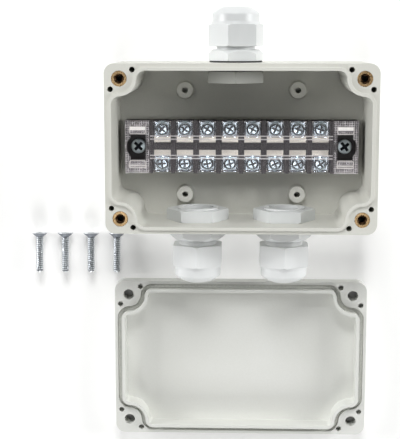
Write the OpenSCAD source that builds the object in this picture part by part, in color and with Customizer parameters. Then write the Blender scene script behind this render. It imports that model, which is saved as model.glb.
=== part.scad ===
// Waterproof junction box lying on its back, opened: the lid and its four screws lie beside it.
// Millimetres. Z = 0 is the back face, +Z points out of the opening, +Y points to the single gland.

/* [Box] */
// Outer length of the box
box_l = 160; // [150:1:200]
// Outer width of the box, between the two walls that carry glands
box_w = 100; // [96:1:140]
// Height from the back face to the top of the sealing tongue
box_h = 60; // [54:1:80]
// Radius of the upright outer corners
corner_r = 6; // [4:0.5:8]
// Radius of the edge round the back face
back_edge_r = 1.5; // [0.5:0.5:3]
// Thickness of the side walls
wall_t = 4.2; // [3.6:0.1:5]
// Thickness of the floor
floor_t = 4; // [3:0.5:6]
// Width of the sealing tongue that follows the opening
tongue_w = 2; // [1.5:0.1:2.4]
// Height of the sealing tongue above the rim
tongue_h = 1.5; // [1:0.1:2.5]

/* [Corner posts] */
// Distance of each lid screw from both outer faces
post_inset = 8.8; // [8.4:0.1:10]
// Radius of the round face that a post turns to the inside
post_r = 10.2; // [9.5:0.1:12]
// Radius of the hollow between a post and a wall
post_blend_r = 5; // [4:0.5:7]
// Diameter of the two narrow core holes in each corner
core_d = 3.3; // [2:0.1:3.6]
// Distance of a core hole from the nearer outer face
core_near = 3.6; // [3:0.1:4]
// Distance of a core hole from the corner, along the long side
core_far_l = 16.4; // [15.5:0.1:18]
// Distance of a core hole from the corner, along the short side
core_far_w = 15; // [14.8:0.1:17]
// Depth of the core holes in the box
core_depth = 40; // [10:1:45]

/* [Brass inserts] */
// Diameter of the insert's barrel
insert_d = 7.8; // [7:0.1:8]
// Diameter of the insert's flange
insert_flange_d = 9.1; // [8.4:0.1:10]
// Thickness of the insert's flange
insert_flange_t = 1; // [0.6:0.1:1.5]
// Length of the whole insert
insert_l = 11; // [8:0.5:14]
// Bore of the insert, cut with the thread of the lid screws
insert_bore_d = 4.3; // [4.2:0.1:4.5]
// Widening of the bore at its mouth
insert_mouth = 0.6; // [0.3:0.1:1]

/* [Floor bosses] */
// Spacing of the four standoffs along the box
boss_dx = 70; // [50:1:100]
// Spacing of the four standoffs across the box
boss_dy = 65; // [60:1:68]
// Diameter of a standoff
boss_d = 10; // [8:0.5:12]
// Height of a standoff above the floor
boss_h = 8; // [4:0.5:10]
// Plastic left under the pilot hole in a standoff
boss_under = 2; // [1.5:0.1:3]
// Diameter of the pilot hole in a standoff
boss_hole_d = 3.6; // [3:0.1:4.5]
// Radius of the hollow at the foot of a standoff
boss_foot_r = 1.2; // [0.5:0.1:2]

/* [Lid] */
// Height of the lid from its outer face to its rim
lid_h = 11.5; // [9:0.5:16]
// Thickness of the lid's plate
lid_plate_t = 2.6; // [2:0.1:4]
// Radius of the edge round the lid's outer face
lid_edge_r = 2; // [0.5:0.5:3]
// Thickness of the inner lip that enters the box
lip_t = 2; // [1.5:0.1:2.4]
// Height of the inner lip above the lid's rim
lip_h = 3.5; // [2:0.5:5]
// Clearance between the lip and the opening of the box
lip_gap = 0.3; // [0.2:0.1:0.6]
// Clearance between the tongue and the outer side of the lid's groove
groove_gap = 0.4; // [0.2:0.1:0.6]
// Depth of the groove below the lid's rim
groove_depth = 3.1; // [2.8:0.1:5]
// Diameter of the four lid screw holes
lid_hole_d = 6.6; // [5.5:0.1:7.5]
// Depth of the core holes in the lid
lid_core_depth = 6; // [3:0.5:7]
// Thickness of the seal that lies in the groove
lid_seal_t = 1.7; // [1.4:0.1:2.2]
// Distance between the end of the lower glands and the lid that lies in front of them
lid_away = 3; // [2:1:40]

/* [Lid screws] */
// Outer diameter of the screw thread
screw_d = 5; // [4.6:0.1:5.2]
// Whole length of a countersunk lid screw
screw_l = 25; // [20:1:30]
// Diameter of the countersunk head
screw_head_d = 10; // [9:0.1:10.6]
// Height of the cylindrical edge of the head
screw_edge_h = 0.4; // [0.2:0.1:0.8]
// Spacing of the loose screws
screw_pitch = 16.5; // [12:0.5:20]
// Distance from the box's left face to the first loose screw
screw_away_x = 48.5; // [48:0.5:60]
// Distance from the box's lower face to the heads of the loose screws
screw_away_y = 9; // [4:0.5:10]

/* [Cable glands] */
// Height of the gland axes above the back face
gland_z = 28; // [26:0.5:34]
// Sideways place of the single gland
gland_top_x = -3.5; // [-20:0.5:20]
// Distance of the two lower glands from the middle
gland_low_x = 26.5; // [22:0.5:40]
// Outer diameter of the gland's fixing thread
thread_d = 25; // [24:0.1:25.5]
// Clearance on diameter between the thread and what it passes through
thread_gap = 0.3; // [0.2:0.1:0.8]
// Length of the fixing thread below the flange
thread_l = 13; // [12.6:0.2:15]
// Bore of the fixing thread
shank_bore_d = 19.5; // [18:0.1:20]
// Width across flats of the two hexagons, flange and dome nut
gland_af = 29.5; // [28.5:0.5:31]
// Diameter of the flange's outer face, inside its turned-off corners
flange_face_d = 28; // [26:0.5:29.5]
// Height of the turned-off corners of the flange
flange_cut_h = 2.4; // [1:0.1:3]
// Depth by which the corners of the other hexagons are turned off
hex_cut = 0.8; // [0.4:0.1:1.2]
// Height of those turned-off corners
hex_cut_h = 0.8; // [0.4:0.1:1.6]
// Thickness of the flange
flange_h = 6.6; // [5:0.2:9]
// Outer diameter of the neck that carries the dome nut
neck_d = 22.8; // [22.4:0.1:23.4]
// Length of the neck
neck_l = 12.4; // [11:0.2:14]
// Length of the tapered fingers above the neck
claw_l = 6; // [4:0.2:6.4]
// Thickness of the fingers at their tip
claw_tip_t = 0.45; // [0.3:0.05:0.6]
// Thickness of the fingers at their root
claw_root_t = 1.05; // [0.7:0.05:1.2]
// Number of slits between the fingers
claw_slits = 8; // [6:1:12]
// Width of a slit
claw_slit_w = 1; // [0.6:0.1:1.6]
// Bore of the ledge under the rubber sleeve
ledge_bore_d = 16.4; // [15:0.1:17]
// Thickness of that ledge
ledge_t = 1.5; // [1:0.1:2]
// Depth of that ledge below the top of the neck
ledge_depth = 4.6; // [4.5:0.1:6]
// Width of the locknut across flats
locknut_af = 33; // [32:0.5:35]
// Thickness of the locknut
locknut_h = 7; // [5:0.5:8]
// Thickness of the black washer under the flange
gasket_t = 1; // [0.8:0.1:2]
// Outer diameter of the black washers
gasket_d = 31.8; // [29:0.1:33]
// Pitch of the dome nut's thread
dome_pitch = 1.5; // [1:0.25:2]

/* [Dome nuts] */
// Height of the hexagonal part
dome_hex_h = 13; // [12:0.5:14]
// Height of the shoulder above the hexagon
dome_shoulder_h = 2.2; // [2:0.2:4]
// Diameter at the foot of the rounded end
dome_d = 28.3; // [27.6:0.1:29]
// Height of the rounded end, to the top of its crown
dome_round_h = 9.4; // [8.6:0.2:11]
// Radius of the ball that the crown is part of
dome_crown_r = 22; // [20:0.5:30]
// Radius of the edge round the crown
dome_edge_r = 2; // [1:0.5:3]
// Diameter of the cable hole in the end
dome_hole_d = 15; // [14.6:0.1:16]
// Depth of the inner end below the top of the crown
dome_end_t = 4.2; // [4:0.1:4.6]
// Clearance between the neck and the dome nut, on radius
dome_gap = 0.15; // [0.1:0.05:0.3]
// Gap between flange and dome nut on the single gland
dome_open_top = 2; // [1.8:0.1:3]
// Gap between flange and dome nut on the two lower glands
dome_open_low = 3.2; // [1.8:0.1:4]
// Turn of the single gland's hexagons about its axis
turn_top = 15; // [0:1:60]
// Turn of the lower dome nuts about their axes
turn_low = 30; // [0:1:60]
// Turn of the single gland's locknut about its axis
turn_locknut = 30; // [0:1:60]

/* [Rubber sleeves] */
// Outer diameter of the sleeve that grips the cable
sleeve_d = 19.2; // [17:0.1:19.3]
// Bore of the sleeve
sleeve_bore_d = 14; // [10:0.5:15]
// Length of the sleeve
sleeve_l = 12.6; // [11:0.2:12.8]
// Height of the taper at the sleeve's outer end
sleeve_taper_h = 2.4; // [1:0.2:3]
// Narrowing of the sleeve at that taper, on radius
sleeve_taper_w = 0.6; // [0.4:0.1:1.2]
// Clearance between the sleeve and the dome nut
sleeve_gap = 0.3; // [0.2:0.1:0.5]

/* [Terminal block] */
// Number of poles
poles = 8; // [4:1:8]
// Distance between each end of the block and the side wall
block_side_gap = 4.1; // [3:0.1:8]
// Width of the block across the poles
block_w = 32.5; // [32:0.5:36]
// Length of each end beyond the outer barriers
block_end_l = 15.7; // [15.4:0.1:17]
// Sideways place of the block, across the box
block_y = -2; // [-4:0.5:2]
// Thickness of the block's solid foot
block_foot_h = 6; // [5:0.5:8]
// Height of the barriers above the foot
barrier_h = 8; // [7.8:0.1:10]
// Thickness of a barrier
barrier_t = 2.6; // [2:0.1:3]
// Width of the ridge that crosses the metal strips
ridge_w = 4.4; // [3:0.2:5]
// Height of the ridge above the foot
ridge_h = 3.2; // [2.4:0.1:4]
// Thickness of the block's end walls
end_wall_t = 1.6; // [1.2:0.1:2]
// Length of the four posts that carry the cover's tabs
tab_l = 9; // [7:0.5:9.5]
// Width of those posts
tab_w = 3.6; // [3:0.1:4]
// Distance of those posts from the block's middle line
tab_y = 10.3; // [10:0.1:11]
// Height of the two pads on the floor under the block
pad_h = 3; // [2:0.5:5]
// Diameter of those pads
pad_d = 11; // [9:0.5:13]

/* [Clamps] */
// Thickness of the metal strip of each pole
strip_t = 1.2; // [0.8:0.1:1.4]
// Distance between a metal strip or clamp washer and the barrier beside it
pole_side_gap = 0.6; // [0.4:0.1:1]
// Distance by which the strip ends before the edge of the clamp washer
strip_short = 0.3; // [0.1:0.1:1]
// Clearance round the strip where it passes under the ridge
strip_gap = 0.1; // [0.05:0.05:0.2]
// Distance of each clamp screw from the block's middle line
clamp_y = 10.7; // [10.4:0.1:11]
// Length of the clamp washer, across the block
washer_l = 10.2; // [9:0.1:10.4]
// Thickness of the clamp washer
washer_t = 1.2; // [0.8:0.1:1.4]
// Clearance on diameter between clamp screw and washer
washer_gap = 0.3; // [0.2:0.1:0.5]
// Distance between washer and strip when the clamp is closed
clamp_rest = 0.05; // [0.02:0.01:0.1]
// Diameter of the clamp screw
clamp_d = 4; // [3.5:0.1:4.2]
// Running clearance of the clamp screw in the strip, on diameter
clamp_gap = 0.16; // [0.1:0.02:0.2]
// Length of the clamp screw below its head
clamp_l = 6.5; // [5:0.1:7]
// Diameter of the clamp screw's head
clamp_head_d = 7.8; // [7:0.1:8.4]
// Height of the clamp screw's head
clamp_head_h = 2.4; // [2:0.1:2.6]
// Length of the cross recess in the clamp screw's head
clamp_recess_l = 4.7; // [4:0.1:6]
// Radius of the edge of the pan heads
head_edge_r = 1.2; // [0.6:0.1:1.6]
// Clearance on diameter round the clamp screw in the block
clamp_hole_gap = 0.8; // [0.4:0.1:1.2]
// Furthest lift of the clamp screw
clamp_lift = 2.1; // [1:0.1:2.2]
// Thread pitch of the clamp screw
clamp_pitch = 0.7; // [0.5:0.1:1]

/* [Block cover] */
// Thickness of the clear cover
cover_t = 1.2; // [0.8:0.1:1.6]
// Clearance under the cover
cover_gap = 0.1; // [0.05:0.05:0.3]
// Radius of the round part of the keyhole windows
window_r = 7; // [6.6:0.1:7.2]
// Length of the straight part of the keyhole windows
window_l = 10; // [8:0.5:11]
// Width of the straight part of the keyhole windows
window_w = 15.6; // [14.4:0.2:16.4]
// Height of the tabs and ridges on the cover
cover_relief = 0.6; // [0.3:0.1:1]
// Width of a long ridge on the cover
cover_line_w = 0.7; // [0.5:0.1:1]
// Distance of the long ridges from the middle line
cover_line_y = 5; // [4:0.1:5.4]
// Spacing of the two ridges of a pair
cover_line_dy = 1.9; // [1.4:0.1:2.4]
// Distance of the mounting screws from the block's outer barriers
mount_off = 7.8; // [7.6:0.1:8.4]
// Diameter of the mounting screw's shank
mount_d = 4; // [3.5:0.1:4.2]
// Diameter of the mounting screw's head
mount_head_d = 9.2; // [8:0.1:10]
// Height of the mounting screw's head
mount_head_h = 3; // [2:0.1:3.4]
// Length of the cross recess in the mounting screw's head
mount_recess_l = 5.5; // [4:0.1:7]
// Length of the mounting screw below its head
mount_l = 11; // [9:0.5:11.5]
// Clearance on diameter of the mounting screw in the block
mount_gap = 0.6; // [0.3:0.1:1]
// Width of the arms of a cross recess
recess_w = 1; // [0.8:0.1:1.2]
// Depth of a cross recess
recess_h = 1.2; // [0.8:0.1:1.6]

/* [Hidden] */
$fn = 64;
// Thickness by which one solid laps into its neighbour of the same piece
lap = 0.02;
// Thickness by which a cut runs past a face
past = 1;
// Thickness of the clearance that keeps neighbouring fitted pieces apart
fit_gap = 0.05;
rim_z = box_h - tongue_h;
corner_x = box_l / 2 - post_inset;
corner_y = box_w / 2 - post_inset;
groove_out = tongue_w + groove_gap;
flange_top = gasket_t + flange_h;
dome_h = dome_hex_h + dome_shoulder_h + dome_round_h;
// Number of steps of the dome nut's edge and of its crown
edge_steps = 5;
crown_steps = 9;
low_gland_end = box_w / 2 + flange_top + dome_open_low + dome_h;
lid_y = -low_gland_end - lid_away - box_w / 2;
block_half_l = box_l / 2 - wall_t - block_side_gap;
block_x = block_half_l - block_end_l;
block_z = floor_t + pad_h;
pole_pitch = 2 * block_x / poles;
strip_w = pole_pitch - barrier_t - 2 * pole_side_gap;
mount_x = block_x + mount_off;
strip_l = 2 * clamp_y + washer_l - 2 * strip_short;
washer_z = block_z + block_foot_h + strip_t + clamp_rest;
clamp_head_z = washer_z + washer_t + fit_gap;
cover_z = block_z + block_foot_h + barrier_h + cover_gap;
screw_head_h = screw_edge_h + (screw_head_d - screw_d) / 2;
screw_lean = atan((screw_head_d - screw_d) / 2 / (screw_l - screw_edge_h));

// Fills the hollow between a post at c with radius r and a wall at y = edge, with radius f.
module blend_web(c, edge, r, f) {
    fy = edge - f;
    fx = c[0] - sqrt(pow(r + f, 2) - pow(fy - c[1], 2));
    difference() {
        polygon([c, [c[0], edge + past], [fx, edge + past], [fx, fy]]);
        translate([fx, fy]) circle(f + lap);
    }
}

// Plan of one corner post as it stands into the opening, for the corner at +X +Y.
module post_plan(grow) {
    c = [corner_x, corner_y];
    r = post_r - grow;
    f = post_blend_r + grow;
    translate(c) circle(r);
    translate(c) square(post_inset);
    blend_web(c, box_w / 2 - wall_t + grow, r, f);
    mirror([1, -1]) blend_web([c[1], c[0]], box_l / 2 - wall_t + grow, r, f);
}

// Outline of the opening, which waves round the four posts; grow moves it out into the wall.
module opening_plan(grow = 0) {
    difference() {
        square([box_l - 2 * (wall_t - grow), box_w - 2 * (wall_t - grow)], center = true);
        for (mx = [0, 1], my = [0, 1])
            mirror([mx, 0]) mirror([0, my]) post_plan(grow);
    }
}

// Copies its children to the four corner posts, mirrored so that each corner is alike.
module at_posts() {
    for (mx = [0, 1], my = [0, 1])
        mirror([mx, 0, 0]) mirror([0, my, 0]) translate([corner_x, corner_y, 0]) children();
}

// Copies its children to the two core holes of each corner.
module at_cores() {
    for (mx = [0, 1], my = [0, 1])
        mirror([mx, 0, 0]) mirror([0, my, 0])
            for (p = [[core_far_l, core_near], [core_near, core_far_w]])
                translate([box_l / 2 - p[0], box_w / 2 - p[1], 0]) children();
}

// Section of a block of width w and height h whose two lower corners have radius e.
module soft_section(w, h, e) {
    difference() {
        translate([-w / 2, 0]) square([w, h]);
        for (s = [-1, 1]) translate([s * w / 2, 0]) difference() {
            square(2 * e, center = true);
            translate([-s * e, e]) circle(e);
        }
    }
}

// Block with upright corners of radius r and a lower edge of radius e.
module soft_block(l, w, h, r, e) {
    rotate([90, 0, 90]) translate([0, 0, r - l / 2]) linear_extrude(l - 2 * r) soft_section(w, h, e);
    rotate([90, 0, 0]) translate([0, 0, r - w / 2]) linear_extrude(w - 2 * r) soft_section(l, h, e);
    for (x = [r - l / 2, l / 2 - r], y = [r - w / 2, w / 2 - r])
        translate([x, y, 0]) rotate_extrude() intersection() {
            soft_section(2 * r, h, e);
            square([r, h]);
        }
}

// Hexagonal prism of width af, its corners turned off at both ends; face_r is the outer face's radius.
module hexagon(af, h, face_r, cut_h) {
    across = af / cos(30);
    intersection() {
        cylinder(d = across, h = h, $fn = 6);
        rotate_extrude() polygon([
            [0, 0], [across / 2 - hex_cut, 0], [across / 2, hex_cut_h],
            [across / 2, h - cut_h], [face_r, h], [0, h]]);
    }
}

// Cross recess, cut down from z = 0.
module cross_recess(l) {
    for (a = [0, 90]) rotate(a)
        translate([-l / 2, -recess_w / 2, -recess_h]) cube([l, recess_w, recess_h + past]);
}

// Stands its children's Z axis out of a wall, at one of the three glands.
module at_gland(name) {
    if (name == "top")
        translate([gland_top_x, box_w / 2, gland_z]) rotate([-90, 0, 0]) children();
    if (name == "left")
        translate([-gland_low_x, -box_w / 2, gland_z]) rotate([90, 0, 0]) children();
    if (name == "right")
        translate([gland_low_x, -box_w / 2, gland_z]) rotate([90, 0, 0]) children();
}

function arc_points(x, y, r, start, end, steps) = [
    for (i = [0 : steps]) let (a = start + (end - start) * i / steps) [x + r * cos(a), y + r * sin(a)]];
function dome_z(name) = flange_top + (name == "top" ? dome_open_top : dome_open_low);
function dome_turn(name) = name == "top" ? turn_top : turn_low;
function flange_turn(name) = name == "top" ? turn_top : 0;
function clamp_place(i) = [
    (floor(i / 2) - (poles - 1) / 2) * pole_pitch,
    block_y + (i % 2 == 0 ? 1 : -1) * clamp_y];

module box_body() {
    color("gainsboro") difference() {
        union() {
            difference() {
                union() {
                    soft_block(box_l, box_w, rim_z, corner_r, back_edge_r);
                    translate([0, 0, rim_z - lap]) linear_extrude(tongue_h + lap) opening_plan(tongue_w);
                }
                translate([0, 0, floor_t]) linear_extrude(box_h) opening_plan();
            }
            for (x = [-1, 1], y = [-1, 1]) translate([x * boss_dx / 2, y * boss_dy / 2, floor_t - lap])
                floor_boss();
            for (s = [-1, 1]) translate([s * mount_x, block_y, floor_t - lap])
                cylinder(d = pad_d, h = pad_h + lap);
        }
        at_posts() translate([0, 0, rim_z]) insert_pocket();
        at_cores() translate([0, 0, rim_z - core_depth]) cylinder(d = core_d, h = core_depth + past);
        for (x = [-1, 1], y = [-1, 1]) translate([x * boss_dx / 2, y * boss_dy / 2, boss_under])
            cylinder(d = boss_hole_d, h = boss_h + floor_t);
        for (s = [-1, 1]) translate([s * mount_x, block_y, block_z + block_foot_h - mount_l - fit_gap])
            cylinder(d = mount_d + fit_gap, h = mount_l);
        for (g = ["top", "left", "right"]) at_gland(g) translate([0, 0, -wall_t - past])
            cylinder(d = thread_d + thread_gap, h = wall_t + 2 * past);
    }
}

// Standoff with a hollow foot, standing on z = 0.
module floor_boss() {
    rotate_extrude() difference() {
        square([boss_d / 2 + boss_foot_r, boss_h + lap]);
        translate([boss_d / 2 + boss_foot_r, boss_foot_r + lap]) circle(boss_foot_r);
        translate([boss_d / 2, boss_foot_r + lap]) square([boss_foot_r + past, boss_h]);
    }
}

// Room for an insert below z = 0, with a free hole under it for the screw's tip.
module insert_pocket() {
    translate([0, 0, -insert_flange_t - fit_gap])
        cylinder(d = insert_flange_d + 2 * fit_gap, h = insert_flange_t + past);
    translate([0, 0, -insert_l - fit_gap]) cylinder(d = insert_d + 2 * fit_gap, h = insert_l);
    translate([0, 0, -screw_l]) cylinder(d = screw_d + fit_gap, h = screw_l);
}

module brass_inserts() {
    color("peru") at_posts() translate([0, 0, rim_z]) rotate_extrude() polygon([
        [insert_bore_d / 2, -insert_l], [insert_d / 2, -insert_l],
        [insert_d / 2, -insert_flange_t], [insert_flange_d / 2, -insert_flange_t],
        [insert_flange_d / 2, 0], [insert_bore_d / 2 + insert_mouth, 0],
        [insert_bore_d / 2, -insert_mouth]]);
}

module lid() {
    color("gainsboro") translate([0, lid_y, 0]) difference() {
        union() {
            soft_block(box_l, box_w, lid_h, corner_r, lid_edge_r);
            translate([0, 0, lid_h - lap]) linear_extrude(lip_h + lap) opening_plan(-lip_gap);
        }
        translate([0, 0, lid_plate_t]) linear_extrude(lid_h + lip_h) opening_plan(-lip_gap - lip_t);
        translate([0, 0, lid_h - groove_depth]) linear_extrude(groove_depth + past) difference() {
            opening_plan(groove_out);
            opening_plan(-lip_gap);
        }
        at_posts() translate([0, 0, -past]) cylinder(d = lid_hole_d, h = lid_h + 2 * past);
        at_posts() rotate_extrude() polygon([
            [0, -past], [screw_head_d / 2 + screw_edge_h + past, -past],
            [screw_head_d / 2 + screw_edge_h, 0], [0, screw_head_d / 2 + screw_edge_h]]);
        at_cores() translate([0, 0, lid_h - lid_core_depth]) cylinder(d = core_d, h = lid_core_depth + past);
    }
}

module lid_seal() {
    color("silver") translate([0, lid_y, lid_h - groove_depth]) linear_extrude(lid_seal_t) difference() {
        opening_plan(groove_out - fit_gap);
        opening_plan(fit_gap - lip_gap);
    }
}

// Countersunk screw along Z with its head's face at z = 0 and its tip below.
module lid_screw() {
    difference() {
        rotate_extrude() polygon([
            [0, -screw_l], [screw_d / 2, -screw_l], [screw_d / 2, -screw_head_h],
            [screw_head_d / 2, -screw_edge_h], [screw_head_d / 2, 0], [0, 0]]);
        cross_recess(screw_d);
    }
}

module lid_screws() {
    color("lightsteelblue") for (i = [0 : 3])
        translate([i * screw_pitch - box_l / 2 - screw_away_x, -box_w / 2 - screw_away_y, 0])
            rotate([-90 - screw_lean, 0, 0]) translate([0, -screw_head_d / 2, 0]) lid_screw();
}

module gland_body(name) {
    neck_top = flange_top + neck_l;
    claw_r = shank_bore_d / 2;
    low = gasket_t - thread_l;
    ledge_z = neck_top - ledge_depth - ledge_t;
    color("whitesmoke") at_gland(name) difference() {
        union() {
            translate([0, 0, gasket_t]) rotate(flange_turn(name))
                hexagon(gland_af, flange_h, flange_face_d / 2, flange_cut_h);
            rotate_extrude() polygon([
                [claw_r, low], [thread_d / 2, low], [thread_d / 2, flange_top - lap],
                [neck_d / 2, flange_top - lap], [neck_d / 2, neck_top],
                [claw_r + claw_root_t, neck_top], [claw_r + claw_tip_t, neck_top + claw_l],
                [claw_r, neck_top + claw_l], [claw_r, ledge_z + ledge_t],
                [ledge_bore_d / 2, ledge_z + ledge_t], [ledge_bore_d / 2, ledge_z], [claw_r, ledge_z]]);
        }
        translate([0, 0, low - past]) cylinder(d = shank_bore_d, h = ledge_z - low + past);
        translate([0, 0, low]) cylinder(d = ledge_bore_d, h = neck_top - low);
        for (k = [0 : claw_slits - 1]) rotate(k * 360 / claw_slits)
            translate([claw_r - past, -claw_slit_w / 2, neck_top + past])
                cube([2 * past + claw_root_t, claw_slit_w, claw_l]);
    }
}

module gasket(name) {
    color("black") at_gland(name) difference() {
        cylinder(d = gasket_d, h = gasket_t);
        translate([0, 0, -past]) cylinder(d = thread_d + thread_gap, h = gasket_t + 2 * past);
    }
}

module top_inner_washer() {
    color("black") at_gland("top") translate([0, 0, -wall_t - gasket_t]) difference() {
        cylinder(d = gasket_d, h = gasket_t);
        translate([0, 0, -past]) cylinder(d = thread_d + thread_gap, h = gasket_t + 2 * past);
    }
}

module locknut(name) {
    under = name == "top" ? gasket_t : 0;
    turned = name == "top" ? turn_locknut : 0;
    face_r = locknut_af / 2 / cos(30) - hex_cut;
    color("whitesmoke") at_gland(name) translate([0, 0, -wall_t - under - locknut_h]) difference() {
        rotate(turned) hexagon(locknut_af, locknut_h, face_r, hex_cut_h);
        translate([0, 0, -past]) cylinder(d = thread_d + thread_gap, h = locknut_h + 2 * past);
    }
}

module dome_nut(name) {
    bore_r = neck_d / 2 + dome_gap;
    shoulder_z = dome_hex_h + dome_shoulder_h;
    end_z = dome_h - dome_end_t;
    taper_z = dome_hex_h + dome_pitch;
    edge_x = dome_d / 2 - dome_edge_r;
    crown_z = shoulder_z + dome_round_h - dome_crown_r;
    edge_z = crown_z + sqrt(pow(dome_crown_r - dome_edge_r, 2) - pow(edge_x, 2));
    slope = atan2(edge_z - crown_z, edge_x);
    hex_r = gland_af / 2 / cos(30) - hex_cut;
    color("whitesmoke") at_gland(name) translate([0, 0, dome_z(name)]) difference() {
        union() {
            rotate(dome_turn(name)) hexagon(gland_af, dome_hex_h, hex_r, hex_cut_h);
            translate([0, 0, dome_hex_h - lap]) cylinder(
                r1 = gland_af / 2, r2 = dome_d / 2, h = dome_shoulder_h + lap);
            rotate_extrude() polygon(concat(
                [[0, shoulder_z - lap], [dome_d / 2, shoulder_z - lap]],
                arc_points(edge_x, edge_z, dome_edge_r, 0, slope, edge_steps),
                arc_points(0, crown_z, dome_crown_r, slope + (90 - slope) / crown_steps, 90, crown_steps - 1)));
        }
        rotate_extrude() polygon([
            [0, -past], [bore_r + past, -past], [bore_r, 0], [bore_r, taper_z],
            [sleeve_d / 2, end_z], [dome_hole_d / 2, end_z], [dome_hole_d / 2, dome_h + past],
            [0, dome_h + past]]);
    }
}

module sleeve(name) {
    top_z = dome_z(name) + dome_h - dome_end_t - sleeve_gap;
    taper = sleeve_d / 2 - sleeve_taper_w;
    color("darkslategray") at_gland(name) rotate_extrude() polygon([
        [sleeve_bore_d / 2, top_z - sleeve_l], [sleeve_d / 2, top_z - sleeve_l],
        [sleeve_d / 2, top_z - sleeve_taper_h], [taper, top_z], [sleeve_bore_d / 2, top_z]]);
}

module terminal_base() {
    color("#2a2422") translate([0, block_y, block_z]) difference() {
        union() {
            translate([-block_half_l, -block_w / 2, 0]) cube([2 * block_half_l, block_w, block_foot_h]);
            for (i = [0 : poles]) translate([(i - poles / 2) * pole_pitch, 0, 0])
                translate([-barrier_t / 2, -block_w / 2, 0])
                    cube([barrier_t, block_w, block_foot_h + barrier_h]);
            translate([-block_x, -ridge_w / 2, 0]) cube([2 * block_x, ridge_w, block_foot_h + ridge_h]);
            for (s = [-1, 1]) {
                translate([s * (block_half_l - end_wall_t / 2), 0, (block_foot_h + barrier_h) / 2])
                    cube([end_wall_t, block_w, block_foot_h + barrier_h], center = true);
                for (y = [-1, 1]) translate([s * mount_x, y * tab_y, (block_foot_h + barrier_h) / 2])
                    cube([tab_l, tab_w, block_foot_h + barrier_h], center = true);
            }
        }
        for (i = [0 : poles - 1]) translate([(i - (poles - 1) / 2) * pole_pitch, 0, block_foot_h]) {
            translate([-strip_w / 2 - strip_gap, -ridge_w / 2 - past, 0])
                cube([strip_w + 2 * strip_gap, ridge_w + 2 * past, strip_t + strip_gap]);
            for (y = [-1, 1]) translate([0, y * clamp_y, strip_t + clamp_rest + washer_t - clamp_l - past])
                cylinder(d = clamp_d + clamp_hole_gap, h = clamp_l);
        }
        for (s = [-1, 1]) translate([s * mount_x, 0, -past])
            cylinder(d = mount_d + mount_gap, h = block_foot_h + 2 * past);
    }
}

module terminal_strips() {
    color("silver") for (i = [0 : poles - 1])
        translate([(i - (poles - 1) / 2) * pole_pitch, block_y, block_z + block_foot_h]) difference() {
            translate([-strip_w / 2, -strip_l / 2, 0]) cube([strip_w, strip_l, strip_t]);
            for (y = [-1, 1]) translate([0, y * clamp_y, -past])
                cylinder(d = clamp_d + clamp_gap, h = strip_t + 2 * past);
        }
}

// Pan-head screw with its head's underside at z = 0 and its shank below.
module pan_screw(d, l, head_d, head_h, recess_l) {
    difference() {
        rotate_extrude() union() {
            translate([0, -l]) square([d / 2, l + lap]);
            square([head_d / 2 - head_edge_r, head_h]);
            square([head_d / 2, head_h - head_edge_r]);
            intersection() {
                translate([head_d / 2 - head_edge_r, head_h - head_edge_r]) circle(head_edge_r);
                square([head_d, head_h]);
            }
        }
        translate([0, 0, head_h]) cross_recess(recess_l);
    }
}

module terminal_mounting_screws() {
    color("lightsteelblue") for (s = [-1, 1])
        translate([s * mount_x, block_y, block_z + block_foot_h + fit_gap])
            rotate(45) pan_screw(mount_d, mount_l - 2 * fit_gap, mount_head_d, mount_head_h, mount_recess_l);
}

module clamp_screw(i) {
    p = clamp_place(i);
    color("lightsteelblue") translate([p[0], p[1], clamp_head_z])
        pan_screw(clamp_d, clamp_l, clamp_head_d, clamp_head_h, clamp_recess_l);
}

module clamp_washer(i) {
    p = clamp_place(i);
    color("lightsteelblue") translate([p[0], p[1], washer_z]) difference() {
        translate([-strip_w / 2, -washer_l / 2, 0]) cube([strip_w, washer_l, washer_t]);
        translate([0, 0, -past]) cylinder(d = clamp_d + washer_gap, h = washer_t + 2 * past);
    }
}

module terminal_cover() {
    color("dimgray", 0.5) translate([0, block_y, cover_z]) difference() {
        union() {
            translate([-block_half_l, -block_w / 2, 0]) cube([2 * block_half_l, block_w, cover_t]);
            for (y = [-1, 1], d = [0, 1])
                translate([0, y * (cover_line_y + d * cover_line_dy), (cover_t + cover_relief) / 2])
                    cube([2 * block_x, cover_line_w, cover_t + cover_relief], center = true);
            for (s = [-1, 1], y = [-1, 1])
                translate([s * mount_x, y * tab_y, (cover_t + cover_relief) / 2])
                    cube([tab_l, tab_w, cover_t + cover_relief], center = true);
        }
        for (s = [-1, 1]) translate([s * mount_x, 0, -past]) {
            cylinder(r = window_r, h = cover_t + 2 * past);
            translate([-window_l / 2 - s * past / 2, -window_w / 2, 0])
                cube([window_l, window_w, cover_t + 2 * past]);
        }
    }
}

box_body();
brass_inserts();
lid();
lid_seal();
lid_screws();
terminal_base();
terminal_strips();
terminal_mounting_screws();
terminal_cover();
top_inner_washer();
for (g = ["top", "left", "right"]) {
    gland_body(g);
    gasket(g);
    locknut(g);
    sleeve(g);
    dome_nut(g);
}
for (i = [1 : 2 * poles]) {
    clamp_screw(i - 1);
    clamp_washer(i - 1);
}
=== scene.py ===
"""Dressed model of an opened waterproof junction box with its lid and lid screws laid beside it."""

import math

import bmesh
import bpy
from mathutils import Euler, Matrix, Vector


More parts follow.
